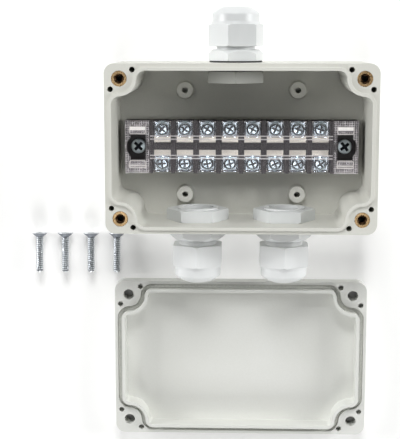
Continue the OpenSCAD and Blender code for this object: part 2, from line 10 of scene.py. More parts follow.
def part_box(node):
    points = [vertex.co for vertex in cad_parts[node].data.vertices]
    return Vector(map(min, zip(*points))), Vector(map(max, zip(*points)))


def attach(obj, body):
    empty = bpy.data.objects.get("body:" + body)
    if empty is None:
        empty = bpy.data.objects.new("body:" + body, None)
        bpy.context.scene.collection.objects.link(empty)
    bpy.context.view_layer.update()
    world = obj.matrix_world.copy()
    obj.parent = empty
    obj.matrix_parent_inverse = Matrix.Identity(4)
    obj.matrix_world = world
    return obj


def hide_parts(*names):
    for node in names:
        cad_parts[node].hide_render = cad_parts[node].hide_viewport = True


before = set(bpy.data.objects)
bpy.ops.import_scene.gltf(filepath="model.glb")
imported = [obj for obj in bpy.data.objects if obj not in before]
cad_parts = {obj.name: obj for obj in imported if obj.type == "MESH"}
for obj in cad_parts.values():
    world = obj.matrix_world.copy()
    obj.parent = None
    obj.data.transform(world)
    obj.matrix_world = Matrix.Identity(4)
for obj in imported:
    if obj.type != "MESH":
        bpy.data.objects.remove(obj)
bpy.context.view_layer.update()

MM = 0.001
FULL_TURN = 2 * math.pi
# Points that lie closer together than this are one
TINY = 2e-6
# Edges sharper than this are rounded, and stay sharp in the shading
CREASE = math.radians(35)
# Faces that meet at less than this are one
FLAT = math.radians(0.4)

# Places and sizes in metres, as the frame has them. Gland places are along X.
BOX_HALF_W = 0.050
WALL_T = 0.0042
POST_X, POST_Y, POST_TOP = 0.0712, 0.0412, 0.0585
GLANDS = {"top": -0.0035, "left": -0.0265, "right": 0.0265}
GLAND_Z = 0.028
FLANGE_TOP = 0.0076
NECK_R, NECK_L = 0.0114, 0.0124
STEM_R = 0.0125
GASKET_R, GASKET_T = 0.0159, 0.001
BLOCK_Y = -0.002
POLES = 8
CLAMPS = range(1, 2 * POLES + 1)
COVER_Z = 0.0223
# Where the clear cover's woven ends begin, and the pitch of their weave
WOVEN_X, WEAVE = 0.0565, 0.0014
# Middle of the cover's keyhole windows, and of the mounting screws under them
WINDOW_X = 0.0638
MOUNTING_HEAD_Z = 0.01305
LID_MIDDLE, LID_HALF_L, LID_HALF_W = 0.1384, 0.078, 0.048


# Modelling

def leave_all():
    """Goes back to object mode with nothing selected."""
    if bpy.context.object is not None and bpy.context.object.mode != "OBJECT":
        bpy.ops.object.mode_set(mode="OBJECT")
    bpy.ops.object.select_all(action="DESELECT")


def take(piece):
    """Makes the piece the one that is selected and active."""
    leave_all()
    piece.select_set(True)
    bpy.context.view_layer.objects.active = piece
    return piece


def named(name):
    """Names the active object, and its mesh with it."""
    piece = bpy.context.object
    piece.name = name
    piece.data.name = name
    return piece


def enter(piece):
    """Opens the piece in edit mode with all of it selected."""
    take(piece)
    bpy.ops.object.mode_set(mode="EDIT")
    bpy.ops.mesh.select_mode(type="VERT")
    bpy.ops.mesh.select_all(action="SELECT")


def pick(kind, test):
    """Selects only those verts, edges or faces of the piece in edit mode that pass the test."""
    bpy.ops.mesh.select_mode(type={"verts": "VERT", "edges": "EDGE", "faces": "FACE"}[kind])
    bpy.ops.mesh.select_all(action="DESELECT")
    work = bmesh.from_edit_mesh(bpy.context.object.data)
    work.normal_update()
    for part in getattr(work, kind):
        if test(part):
            part.select_set(True)
    bmesh.update_edit_mesh(bpy.context.object.data)


def facing(axis, sign):
    """A test for faces whose normal points along an axis."""
    return lambda face: face.normal[axis] * sign > 0.9


def resize(x, y, z, centre):
    """Scales what is selected about a centre."""
    bpy.ops.transform.resize(value=(x, y, z), center_override=centre)


def close_up():
    """Merges what lies together and turns every face outwards."""
    bpy.ops.mesh.select_all(action="SELECT")
    bpy.ops.mesh.remove_doubles(threshold=TINY)
    bpy.ops.mesh.normals_make_consistent(inside=False)


def apply_modifier(piece, kind, **settings):
    """Adds a modifier with these settings and applies it."""
    take(piece)
    modifier = piece.modifiers.new(kind.lower(), kind)
    for key, value in settings.items():
        setattr(modifier, key, value)
    bpy.ops.object.modifier_apply(modifier=modifier.name)


def smooth(piece):
    """Smooths what is nearly flush."""
    take(piece)
    bpy.ops.object.shade_smooth_by_angle(angle=CREASE)
    return piece


def soften(piece, width, segments=2):
    """Rounds the sharp edges of a piece and smooths the rest."""
    apply_modifier(piece, "BEVEL", width=width, segments=segments, limit_method="ANGLE",
                   angle_limit=CREASE, use_clamp_overlap=True)
    smooth(piece)
    apply_modifier(piece, "WEIGHTED_NORMAL", keep_sharp=True)
    return piece


def settle(piece, matrix=None):
    """Puts a piece in its place and writes the place into its mesh."""
    take(piece)
    if matrix is not None:
        piece.matrix_world = matrix
    bpy.ops.object.transform_apply(location=True, rotation=True, scale=True)
    return piece


def copied(piece, name, matrix=None):
    """A copy of a piece with a mesh of its own, moved by a matrix."""
    take(piece)
    bpy.ops.object.duplicate(linked=False)
    copy = named(name)
    return settle(copy, matrix)


def joined(name, *pieces):
    """Makes one piece of several."""
    leave_all()
    for piece in pieces:
        piece.select_set(True)
    bpy.context.view_layer.objects.active = pieces[0]
    bpy.ops.object.join()
    return named(name)


def cut(piece, cutter):
    """Cuts one piece out of another and removes the cutter."""
    apply_modifier(piece, "BOOLEAN", operation="DIFFERENCE", solver="EXACT", object=cutter)
    take(cutter)
    bpy.ops.object.delete()
    return piece


def from_frame(node, name, width, segments=2):
    """A merged copy of a node's solid whose edges are rounded as a moulding's are."""
    leave_all()
    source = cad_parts[node]
    piece = bpy.data.objects.new(name, source.data.copy())
    bpy.context.scene.collection.objects.link(piece)
    enter(piece)
    named(name)
    bpy.ops.mesh.remove_doubles(threshold=TINY)
    bpy.ops.mesh.dissolve_limited(angle_limit=FLAT)
    bpy.ops.object.mode_set(mode="OBJECT")
    piece.data.materials.clear()
    return soften(piece, width, segments)


def shade(piece, finish, inner_finish, test):
    """Gives a piece its finish, and another one to the faces that pass the test."""
    for name in (finish, inner_finish):
        piece.data.materials.append(FINISHES[name])
    enter(piece)
    pick("faces", lambda face: test(face.calc_center_median(), face.normal))
    piece.active_material_index = 1
    bpy.ops.object.material_slot_assign()
    bpy.ops.object.mode_set(mode="OBJECT")
    return piece


def point_at(name, radius, height):
    """Starts a profile: a piece in edit mode that is one selected point."""
    leave_all()
    bpy.ops.mesh.primitive_plane_add(size=MM, location=(0, 0, 0))
    piece = named(name)
    enter(piece)
    bpy.ops.mesh.merge(type="CENTER")
    pick("verts", lambda v: True)
    bpy.ops.transform.translate(value=(radius, 0, height))
    return piece


def draw_on(radius, height):
    """Draws the next edge of a profile by this much."""
    bpy.ops.mesh.extrude_vertices_move(TRANSFORM_OT_translate={"value": (radius, 0, height)})


def millimetres(profile):
    """A profile given in millimetres, in metres."""
    return [(radius * MM, height * MM) for radius, height in profile]


def turned(name, profile, steps):
    """A round piece about Z, its half section given as radius and height and spun."""
    piece = point_at(name, *profile[0])
    for last, point in zip(profile, profile[1:]):
        draw_on(point[0] - last[0], point[1] - last[1])
    bpy.ops.mesh.select_all(action="SELECT")
    bpy.ops.mesh.spin(steps=steps, angle=FULL_TURN, center=(0, 0, 0), axis=(0, 0, 1))
    close_up()
    return smooth(piece)


def closed(profile):
    """The profile with its first point again at its end."""
    return profile + profile[:1]


def arc(centre, radius, start, end, steps=5):
    """Points of a profile on a circular arc, from one angle to another in degrees."""
    angles = [math.radians(start + (end - start) * i / steps) for i in range(steps + 1)]
    return [(centre[0] + radius * math.cos(a), centre[1] + radius * math.sin(a)) for a in angles]


def thread(name, radius, depth, pitch, low, high, steps):
    """A helical ridge about Z that stands on a core of this radius."""
    inner, outer = radius - 0.1 * depth, radius + depth
    flank, crest = 0.36 * pitch, 0.14 * pitch
    piece = point_at(name, inner, low)
    draw_on(outer - inner, flank)
    draw_on(0, crest)
    draw_on(inner - outer, flank)
    pick("verts", lambda v: v.co.x < inner + TINY)
    bpy.ops.mesh.edge_face_add()
    bpy.ops.object.mode_set(mode="OBJECT")
    turns = max(1, int((high - low) / pitch - 1))
    apply_modifier(piece, "SCREW", angle=FULL_TURN, screw_offset=pitch, iterations=turns,
                   axis="Z", steps=steps, render_steps=steps, use_merge_vertices=True,
                   merge_threshold=TINY)
    enter(piece)
    bpy.ops.mesh.remove_doubles(threshold=TINY)
    bpy.ops.mesh.fill_holes(sides=4)
    close_up()
    return smooth(piece)


def cross_cutter(top, arm, width, depth):
    """A tapered cross with its upper face a little above top, as a cross-head driver fits."""
    taper, past = 0.42, 0.05 * depth
    leave_all()
    bpy.ops.mesh.primitive_cube_add(size=1, location=(0, 0, top - depth / 2 + past))
    cutter = named("cross_cutter")
    cutter.scale = (width, width, depth + 2 * past)
    settle(cutter)
    enter(cutter)
    pick("faces", lambda f: abs(f.normal.z) < 0.1)
    bpy.ops.mesh.extrude_faces_move(
        TRANSFORM_OT_shrink_fatten={"value": (arm - width) / 2})
    pick("faces", facing(2, -1))
    resize(taper, taper, 1, (0, 0, top - depth))
    close_up()
    return take(cutter)


# Finishes

class Value:
    """An output socket that takes part in sums, products and powers."""

    def __init__(self, finish, socket):
        self.finish, self.socket = finish, socket

    def maths(self, operation, *values):
        """One Math node."""
        return self.finish.node("ShaderNodeMath", {"operation": operation},
                                dict(enumerate(values)))

    def __add__(self, other):
        return self.maths("ADD", self, other)

    def __mul__(self, other):
        return self.maths("MULTIPLY", self, other)

    def __sub__(self, other):
        return self.maths("SUBTRACT", self, other)

    def __rsub__(self, other):
        return self.maths("SUBTRACT", other, self)

    def __pow__(self, other):
        return self.maths("POWER", self, other)

    __radd__, __rmul__ = __add__, __mul__


class Finish:
    """A procedural material, or the sky, and the nodes that it is made of."""

    def __init__(self, name, kind=bpy.data.materials, place="Object"):
        self.made = kind.new(name)
        self.made.use_nodes = True
        self.nodes = self.made.node_tree.nodes
        self.links = self.made.node_tree.links
        self.nodes.clear()
        self.place = self.node("ShaderNodeTexCoord", out=place)

    def node(self, kind, settings=None, inputs=None, out=0):
        """Adds a node, sets it up, fills or links its sockets, and gives one of its outputs."""
        made = self.nodes.new(kind)
        for key, value in (settings or {}).items():
            setattr(made, key, value)
        for key, value in (inputs or {}).items():
            if isinstance(value, Value):
                self.links.new(value.socket, made.inputs[key])
            else:
                made.inputs[key].default_value = value
        return Value(self, made.outputs[out]) if made.outputs else None

    def noise(self, scale, detail=2.0, rough=0.5, stretch=(1, 1, 1)):
        """Cloudy variation, with scale in features per metre."""
        at = self.node("ShaderNodeMapping", {}, {"Vector": self.place, "Scale": stretch})
        return self.node("ShaderNodeTexNoise", {}, {
            "Vector": at, "Scale": scale, "Detail": detail, "Roughness": rough})

    def cells(self, scale):
        """Distance to the nearest of many scattered points."""
        return self.node("ShaderNodeTexVoronoi", {},
                         {"Vector": self.place, "Scale": scale}, "Distance")

    def along(self, axis):
        """One coordinate of the place on the piece."""
        return self.node("ShaderNodeSeparateXYZ", {}, {"Vector": self.place}, axis)

    def mix(self, share, first, second):
        """A colour between two others."""
        return self.node("ShaderNodeMix", {"data_type": "RGBA"},
                         {0: share, 6: first, 7: second}, 2)

    def spread(self, value, low, high, to_low, to_high):
        """Maps a value's range to another."""
        return self.node("ShaderNodeMapRange", {},
                         {0: value, 1: low, 2: high, 3: to_low, 4: to_high})

    def bump(self, height, distance, strength):
        """A normal for a fine relief."""
        return self.node("ShaderNodeBump", {},
                         {"Height": height, "Distance": distance, "Strength": strength})

    def surface(self, **sockets):
        """Finishes the material with one surface shader."""
        inputs = {key.replace("_", " "): value for key, value in sockets.items()}
        shader = self.node("ShaderNodeBsdfPrincipled", {}, inputs)
        self.node("ShaderNodeOutputMaterial", {}, {"Surface": shader})
        return self.made


def rgb(red, green, blue):
    """A colour from its 0 to 255 values on screen."""
    def linear(value):
        share = value / 255
        return share / 12.92 if share <= 0.04045 else ((share + 0.055) / 1.055) ** 2.4
    return (linear(red), linear(green), linear(blue), 1.0)


def housing_finish(name, dark, light, dark_speck):
    """Light grey ABS, finely grained in the mould, with a faint unevenness of shade."""
    f = Finish(name)
    cloud = f.noise(14, 3, 0.55)
    grain = f.noise(2600, 2, 0.6)
    speck = f.spread(f.noise(900, 1), 0.30, 0.72, 0.0, 1.0)
    tint = f.mix(f.spread(cloud, 0.3, 0.7, 0.0, 1.0), dark, light)
    colour = f.mix(speck * 0.12, tint, dark_speck)
    return f.surface(Base_Color=colour, Roughness=f.spread(grain, 0.25, 0.75, 0.42, 0.56),
                     Normal=f.bump(grain + cloud * 0.4, 0.00003, 0.5), Specular_IOR_Level=0.45)


def nylon_finish(name, dark, light):
    """White nylon of the glands, a little waxy, with flow marks."""
    f = Finish(name)
    flow = f.noise(60, 3, 0.6, (1, 0.35, 1))
    grain = f.noise(1900, 2, 0.55)
    colour = f.mix(f.spread(flow, 0.3, 0.7, 0.0, 1.0), dark, light)
    return f.surface(Base_Color=colour, Roughness=f.spread(grain, 0.2, 0.8, 0.30, 0.44),
                     Normal=f.bump(grain + flow, 0.00002, 0.5),
                     Coat_Weight=0.12, Coat_Roughness=0.25)


def backnut_painted_shade_finish(name, away, painted_shade_at_wall):
    """Nylon of the single gland's locknut with painted shade: greyer overall, and darker towards
    the wall, where the wall's shadow falls.
    """
    f = Finish(name)
    low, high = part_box("top_locknut")
    grain = f.noise(1900, 2, 0.55)
    colour = f.mix(f.spread(f.along("Y"), low.y, high.y, 0.0, 1.0), away, painted_shade_at_wall)
    return f.surface(Base_Color=colour, Roughness=f.spread(grain, 0.2, 0.8, 0.34, 0.48),
                     Normal=f.bump(grain, 0.00002, 0.5), Coat_Weight=0.12, Coat_Roughness=0.25)


def rubber_finish(name, colour, worn, rough=0.62):
    """Moulded rubber with a dusty bloom."""
    f = Finish(name)
    bloom = f.noise(240, 4, 0.65)
    grain = f.noise(3200, 2, 0.6)
    tint = f.mix(f.spread(bloom, 0.45, 0.75, 0.0, 0.6), colour, worn)
    return f.surface(Base_Color=tint,
                     Roughness=f.spread(bloom, 0.3, 0.7, rough - 0.1, rough + 0.12),
                     Normal=f.bump(grain, 0.00003, 0.7))


def foam_finish(name, dark, light):
    """Grey sponge rubber of the lid's seal, with open cells."""
    f = Finish(name)
    cell = f.cells(1700)
    cloud = f.noise(120, 3)
    tint = f.mix(f.spread(cell, 0.0, 0.5, 0.0, 1.0), dark, light)
    return f.surface(Base_Color=tint, Roughness=f.spread(cloud, 0.3, 0.7, 0.74, 0.9),
                     Normal=f.bump(cell, 0.0001, 0.6))


def metal_finish(name, colour, tarnish, rough, streak, wear=0.35):
    """Plated or turned metal with fine tool marks and a clouded plating."""
    f = Finish(name)
    cloud = f.noise(180, 3, 0.6)
    marks = f.noise(700, 3, 0.7, streak)
    tint = f.mix(f.spread(cloud, 0.4, 0.75, 0.0, wear), colour, tarnish)
    return f.surface(Base_Color=tint, Metallic=1.0,
                     Roughness=f.spread(marks, 0.25, 0.75, rough - 0.07, rough + 0.1),
                     Normal=f.bump(marks, 0.00002, 0.6))


def block_finish(name, dark, light):
    """Dark moulding of the terminal block with a faint sheen."""
    f = Finish(name)
    grain = f.noise(2200, 2, 0.6)
    cloud = f.noise(90, 3)
    tint = f.mix(f.spread(cloud, 0.3, 0.7, 0.0, 1.0), dark, light)
    return f.surface(Base_Color=tint, Roughness=f.spread(grain, 0.25, 0.75, 0.36, 0.52),
                     Normal=f.bump(grain, 0.00003, 0.5))


def clear_finish(name, smoky, pale):
    """Smoky clear cover: hazy where it is scuffed, woven at its ends, pale along its lips. The
    weave and the lines along its lips glow and turn pale as painted highlights.
    """
    f = Finish(name)
    haze = f.noise(160, 3, 0.6)
    scuff = f.noise(1500, 2, 0.7, (1, 0.2, 1))
    x, y, z = (f.along(axis) for axis in "XYZ")
    end = f.spread(x.maths("ABSOLUTE", x), WOVEN_X, WOVEN_X + 0.4 * MM, 0.0, 1.0)
    across, along = x * (FULL_TURN / WEAVE), y * (FULL_TURN / WEAVE)
    weave = across.maths("MAXIMUM", across.maths("SINE", across), along.maths("SINE", along))
    raised = f.spread(z, COVER_Z + 0.1 * MM, COVER_Z + 0.3 * MM, 0.0, 1.0)
    patchy = f.spread(f.noise(420, 2), 0.35, 0.65, 0.35, 1.0)
    grid = f.spread(weave, 0.1, 0.9, 0.0, 1.0) * end * patchy * (1 - raised)
    lip = raised * (1 - end)
    veil = f.spread(haze, 0.3, 0.7, 0.05, 0.10) + f.spread(scuff, 0.62, 0.8, 0.0, 0.08)
    # Painted highlights: the weave and the lip lines get a pale colour, more opacity and a glow
    return f.surface(Base_Color=f.mix(grid + lip, smoky, pale),
                     Alpha=veil + end * 0.06 + grid * 0.26 + lip * 0.34,
                     Emission_Color=f.mix(grid + lip, rgb(0, 0, 0), rgb(176, 172, 174)),
                     Emission_Strength=1.0,
                     Roughness=f.spread(haze, 0.3, 0.7, 0.10, 0.20) + grid * 0.2,
                     Normal=f.bump(scuff * 0.3 + grid, 0.00006, 0.5), Specular_IOR_Level=0.6)


def painted_glow_finish(name, face_on, edge_on, glow):
    """Thick clear plastic that glows evenly as painted light, and is more opaque where it is seen
    edge-on, so its edges look pale.
    """
    f = Finish(name)
    haze = f.noise(400, 3, 0.6)
    rim = f.node("ShaderNodeLayerWeight", {}, {"Blend": 0.35}, "Facing")
    return f.surface(Base_Color=f.mix(haze, rgb(205, 198, 194), rgb(226, 220, 214)),
                     Alpha=f.spread(rim, 0.0, 0.7, face_on, edge_on), Coat_Weight=0.5,
                     Emission_Color=f.mix(haze, rgb(glow, glow, glow),
                                          rgb(glow + 16, glow + 15, glow + 16)),
                     Emission_Strength=1.0,
                     Roughness=f.spread(haze, 0.3, 0.7, 0.12, 0.24),
                     Normal=f.bump(haze, 0.00003, 0.3), Specular_IOR_Level=0.8)


# How each finish is made, with its colours and then what sets it apart
RECIPES = {
    "housing_abs": (housing_finish, rgb(204, 204, 197), rgb(210, 210, 203), rgb(190, 190, 181)),
    "lid_abs": (housing_finish, rgb(214, 215, 210), rgb(220, 221, 217), rgb(200, 200, 192)),
    "gland_nylon": (nylon_finish, rgb(203, 206, 206), rgb(209, 211, 211)),
    # The gland nylon lightened, as painted light for the lower glands that lie in shade
    "painted_light_nylon": (nylon_finish, rgb(217, 219, 219), rgb(223, 225, 225)),
    # The single gland's locknut: nylon with painted shade, lighter away from the wall and darker at
    # it
    "backnut_painted_shade_nylon": (backnut_painted_shade_finish, rgb(170, 171, 165), rgb(142, 143, 136)),
    "black_rubber": (rubber_finish, rgb(22, 22, 23), rgb(46, 46, 47)),
    "sleeve_rubber": (rubber_finish, rgb(52, 55, 57), rgb(78, 81, 82), 0.55),
    "seal_rubber": (foam_finish, rgb(140, 141, 137), rgb(192, 193, 187)),
    "brass": (metal_finish, rgb(196, 166, 124), rgb(132, 104, 74), 0.24, (1, 1, 6)),
    # Brass painted dark, as painted shade down the inserts' bores
    "bore_painted_shade_brass": (metal_finish, rgb(74, 54, 38), rgb(36, 27, 20), 0.45, (1, 1, 6)),
    "zinc_steel": (metal_finish, rgb(212, 226, 236), rgb(166, 184, 198), 0.20, (1, 1, 4), 0.45),
    "screw_steel": (metal_finish, rgb(224, 227, 230), rgb(186, 192, 198), 0.32, (1, 1, 3)),
    "dull_zinc": (metal_finish, rgb(190, 200, 204), rgb(158, 170, 176), 0.32, (1, 1, 3)),
    # Near-black steel, as painted shade in the mounting screws' cross recesses
    "recess_painted_shade_steel": (metal_finish, rgb(52, 56, 62), rgb(30, 33, 38), 0.55, (1, 1, 3)),
    # The washer zinc painted darker, as painted shade in the clamp washers' wells
    "well_painted_shade_zinc": (metal_finish, rgb(208, 220, 230), rgb(172, 186, 199), 0.27, (1, 1, 3)),
    # Steel painted darker, as painted shade between thread ridges and in cross recesses
    "root_painted_shade_steel": (metal_finish, rgb(142, 146, 152), rgb(112, 117, 124), 0.5, (1, 1, 3)),
    "bright_zinc": (metal_finish, rgb(236, 242, 249), rgb(202, 213, 225), 0.20, (1, 1, 2)),
    "strip_nickel": (metal_finish, rgb(236, 230, 220), rgb(220, 214, 204), 0.31, (0.2, 1, 1)),
    "block_plastic": (block_finish, rgb(44, 39, 41), rgb(54, 48, 50)),
    # The second colour is the painted highlight of the weave and lips
    "clear_plastic": (clear_finish, rgb(166, 160, 168), rgb(228, 224, 225)),
    # Clear lips and beads that glow as painted light; the upper bead's brighter glow is a painted
    # highlight
    "lip_painted_glow_plastic": (painted_glow_finish, 0.6, 0.8, 130),
    "bead_painted_highlight_plastic": (painted_glow_finish, 0.92, 0.98, 190),
}
FINISHES = {name: make(name, *values) for name, (make, *values) in RECIPES.items()}


def dress(piece, body, slot, *nodes, finish=None):
    """Gives a piece its finish, its body and the nodes that it stands for."""
    if not piece.data.materials:
        piece.data.materials.append(FINISHES[finish or slot])
    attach(piece, body)
    if nodes:
        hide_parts(*nodes)
    return piece


# Camera, floor and light

def place_camera():
    """Looks down on the open box from a little towards its single gland, as the photograph does."""
    camera = bpy.data.objects.new("camera", bpy.data.cameras.new("camera"))
    bpy.context.scene.collection.objects.link(camera)
    camera.location = (0.0, 0.066, 0.747)
    camera.rotation_euler = Euler((math.radians(-8.85), math.radians(2.0), 0))
    camera.data.lens = 97.0
    camera.data.clip_start, camera.data.clip_end = 0.05, 20
    bpy.context.scene.camera = camera


def grey(level):
    """A grey from its share of full light."""
    return (level, level, level, 1.0)


def place_floor():
    """A pale table that glows, more so far away, but not where the lid covers it: the dark table
    there is painted shade seen through the lid's holes.
    """
    size, gap, near_glow, far_glow = 16, 0.4 * MM, 0.22, 0.97
    leave_all()
    bpy.ops.mesh.primitive_plane_add(size=size, location=(0, 0, -gap))
    floor = named("floor")
    enter(floor)
    bpy.ops.mesh.subdivide(number_cuts=1)
    bpy.ops.object.mode_set(mode="OBJECT")
    f = Finish("pale_table")
    x, y = f.along("X"), f.along("Y")
    away = y + LID_MIDDLE
    # The glow stops under the lid, as painted shade seen through its holes
    painted_shade_under_lid = (f.spread(x.maths("ABSOLUTE", x), LID_HALF_L - TINY, LID_HALF_L, 1.0, 0.0)
                 * f.spread(away.maths("ABSOLUTE", away), LID_HALF_W - TINY, LID_HALF_W, 1.0, 0.0))
    far = f.spread((x * x + y * y) ** 0.5, 0.5, 1.8, 0.0, 1.0)
    glow = f.mix(far, grey(near_glow), grey(far_glow))
    floor.data.materials.append(f.surface(
        Base_Color=rgb(232, 232, 231), Roughness=0.9, Specular_IOR_Level=0.1,
        Emission_Color=f.mix(painted_shade_under_lid, glow, grey(0)), Emission_Strength=1.0))


def place_light(name, azimuth, elevation, distance, width, height, power):
    """A soft light that faces the box."""
    data = bpy.data.lights.new(name, "AREA")
    data.shape, data.energy = "RECTANGLE", power
    data.size, data.size_y = width, height
    light = bpy.data.objects.new(name, data)
    bpy.context.scene.collection.objects.link(light)
    a, e = math.radians(azimuth), math.radians(elevation)
    way = Vector((math.sin(a) * math.cos(e), math.cos(a) * math.cos(e), math.sin(e)))
    light.location = way * distance
    light.rotation_euler = (-way).to_track_quat("-Z", "Y").to_euler()


# Azimuth and elevation in degrees, distance, width and height in metres, power in watts
LIGHTS = {
    "softbox_beyond_the_single_gland": (0, 41, 2.2, 0.8, 0.8, 29),
    "softbox_beyond_the_lid": (180, 27, 2.2, 0.8, 0.8, 20),
    "softbox_left": (-80, 21, 2.2, 0.75, 0.75, 30),
    "softbox_right": (80, 21, 2.2, 0.75, 0.75, 30),
    "softbox_overhead": (185, 83.2, 2.0, 0.5, 0.27, 2.05),
}


def place_studio():
    """The soft lights, and a sky that is pale at the horizon and white behind the table."""
    for name, values in LIGHTS.items():
        place_light(name, *values)
    sky = Finish("studio", bpy.data.worlds, "Generated")
    lighting = sky.spread(sky.along("Z"), 0.02, 0.3, 0.95, 0.04)
    seen = sky.node("ShaderNodeLightPath", out="Is Camera Ray")
    white = sky.node("ShaderNodeBackground", {}, {
        "Color": grey(1), "Strength": lighting * (1 - seen) + seen * 0.97})
    sky.node("ShaderNodeOutputWorld", {}, {"Surface": white})
    bpy.context.scene.world = sky.made
    bpy.context.scene.view_settings.view_transform = "Standard"


# Pieces

def raised_to(z, x=0.0, y=0.0, turn=0.0):
    """Places a piece that stands along Z, turned by some degrees."""
    return Matrix.Translation((x, y, z)) @ Matrix.Rotation(math.radians(turn), 4, "Z")


def at_gland(name):
    """Stands Z out of the wall at a gland's place."""
    side = 1 if name == "top" else -1
    return (Matrix.Translation((GLANDS[name], side * BOX_HALF_W, GLAND_Z))
            @ Matrix.Rotation(math.radians(-90 * side), 4, "X"))


def make_housing():
    edge = 0.22 * MM
    dress(from_frame("box_body", "box_shell", edge), "box", "housing_abs", "box_body")
    dress(from_frame("lid", "lid_shell", edge), "box", "housing_abs", "lid", finish="lid_abs")
    seal = from_frame("lid_seal", "lid_sponge_seal", 0.5 * MM, 3)
    dress(seal, "box", "seal_rubber", "lid_seal")


def make_inserts():
    """Brass inserts, with a chamfered mouth and the rings of their thread, and painted shade down
    their bore.
    """
    bore, flange, barrel, length = 2.25, 4.55, 3.9, 11
    mouth, chamfer_h, flange_t = 2.95, 0.75, 1
    edge, chamfer = 0.25, 0.3
    rings, pitch, groove = 9, 1.0, 0.3
    grooves = []
    for i in range(rings):
        z = -(i + 1) * pitch
        grooves += [(bore, z), (bore - groove, z - 0.25),
                    (bore - groove, z - 0.55), (bore, z - 0.9)]
    profile = [(flange - edge, 0), (mouth, 0), (bore + 0.05, -chamfer_h)] + grooves + [
        (bore, -length), (barrel - chamfer, -length), (barrel, -length + chamfer),
        (barrel, -flange_t), (flange, -flange_t), (flange, -edge)]
    first = turned("insert_upper_right", closed(millimetres(profile)), 48)
    # Faces down the bore get brass painted dark, as painted shade in the hole
    shade(first, "brass", "bore_painted_shade_brass", lambda at, normal: (
        at.xy.length < (bore + 0.05) * MM and at.z < -(chamfer_h + 0.05) * MM))
    others = {"upper_left": (-1, 1), "lower_right": (1, -1), "lower_left": (-1, -1)}
    for corner, (x, y) in others.items():
        insert = copied(first, f"insert_{corner}", raised_to(POST_TOP, x * POST_X, y * POST_Y))
        dress(insert, "box", "brass", "brass_inserts")
    dress(settle(first, raised_to(POST_TOP, POST_X, POST_Y)), "box", "brass", "brass_inserts")


def make_lid_screws():
    """Countersunk screws with a driven cross and a rolled thread."""
    radius, head, length, head_h = 2.5, 5.0, 25.0, 2.9
    core_r, tip_r, pitch = radius - 0.5, radius - 0.9, 1.25
    recess_l, recess_w, recess_h = 5.2, 1.15, 2.1
    profile = [(0, 0), (head - 0.15, 0), (head, -0.12), (head, -0.42),
               (radius - 0.45, -head_h + 0.1), (radius - 0.48, -length + 0.6),
               (tip_r, -length), (0, -length)]
    core = turned("lid_screw_core", millimetres(profile), 40)
    cut(core, cross_cutter(0, recess_l * MM, recess_w * MM, recess_h * MM))
    smooth(core)

    # Faces between the thread's ridges and in the head's cross recess take darker steel, as painted
    # shade
    def sunk(at, normal):
        in_thread = -(length - 0.7) * MM < at.z < -(head_h + 0.2) * MM
        in_head = at.z > -2.0 * MM and at.xy.length < 0.75 * head * MM
        return in_thread or (in_head and (normal.z < 0.9 or at.z < -MM))

    shade(core, "screw_steel", "root_painted_shade_steel", sunk)
    ridge = thread("lid_screw_ridge", core_r * MM, 0.5 * MM, pitch * MM,
                   (-length + 0.5) * MM, (-head_h + 0.9) * MM, 36)
    ridge.data.materials.append(FINISHES["screw_steel"])
    screw = joined("lid_screw_1", core, ridge)
    # A screw lies on the rim of its head and the end of its thread
    lean = math.atan((head - radius) / 24.6)
    places = [Matrix.Translation(((-128.5 + 16.5 * i) * MM, -0.059, 0))
              @ Matrix.Rotation(-math.pi / 2 - lean, 4, "X")
              @ Matrix.Translation((0, -head * MM, 0))
              @ Matrix.Rotation(math.radians(23 + 61 * i), 4, "Z") for i in range(4)]
    for i in range(1, 4):
        lying = copied(screw, f"lid_screw_{i + 1}", places[i])
        dress(lying, "box", "zinc_steel", "lid_screws")
    dress(settle(screw, places[0]), "box", "zinc_steel", "lid_screws")


def rounded_ring(name, inner, outer, low, high, edge):
    """A flat ring about Z with rounded outer edges."""
    profile = ([(inner, low)] + arc((outer - edge, low + edge), edge, -90, 0, 4)
               + arc((outer - edge, high - edge), edge, 0, 90, 4) + [(inner, high)])
    return turned(name, closed(profile), 64)


def gland_washer(name, gland, low, node):
    """A black washer round a gland's stem, this far out of the wall."""
    ring = rounded_ring(name, STEM_R + 0.15 * MM, GASKET_R, low, low + GASKET_T, 0.3 * MM)
    dress(settle(ring, at_gland(gland)), "box", "black_rubber", node)


def make_glands():
    pitch, ridge, edge = 1.5 * MM, 0.13 * MM, 0.45 * MM
    for name in GLANDS:
        single = name == "top"
        # The lower glands, which lie in shade, get the gland nylon with painted light
        white = "gland_nylon" if single else "painted_light_nylon"
        body = from_frame(f"{name}_gland_body", f"{name}_gland_stem", 0.3 * MM)
        neck = thread(f"{name}_neck_thread", NECK_R - 0.02 * MM, ridge, pitch,
                      FLANGE_TOP + 0.3 * MM, FLANGE_TOP + NECK_L - 0.2 * MM, 40)
        settle(neck, at_gland(name))
        stem = joined(f"{name}_gland_stem", body, neck)
        dress(stem, "box", "gland_nylon", f"{name}_gland_body", finish=white)
        locknut = from_frame(f"{name}_locknut", f"{name}_backnut", edge, 3)
        # The single gland's locknut lies in the wall's shadow and gets nylon with painted shade
        dress(locknut, "box", "gland_nylon", f"{name}_locknut",
              finish="backnut_painted_shade_nylon" if single else "gland_nylon")
        cap = from_frame(f"{name}_dome_nut", f"{name}_sealing_cap", edge, 3)
        dress(cap, f"{name}_dome_nut", "gland_nylon", f"{name}_dome_nut", finish=white)
        gland_washer(f"{name}_flange_washer", name, 0, f"{name}_gasket")
        make_sleeve(name)
    gland_washer("top_backnut_washer", "top", -WALL_T - GASKET_T, "top_inner_washer")


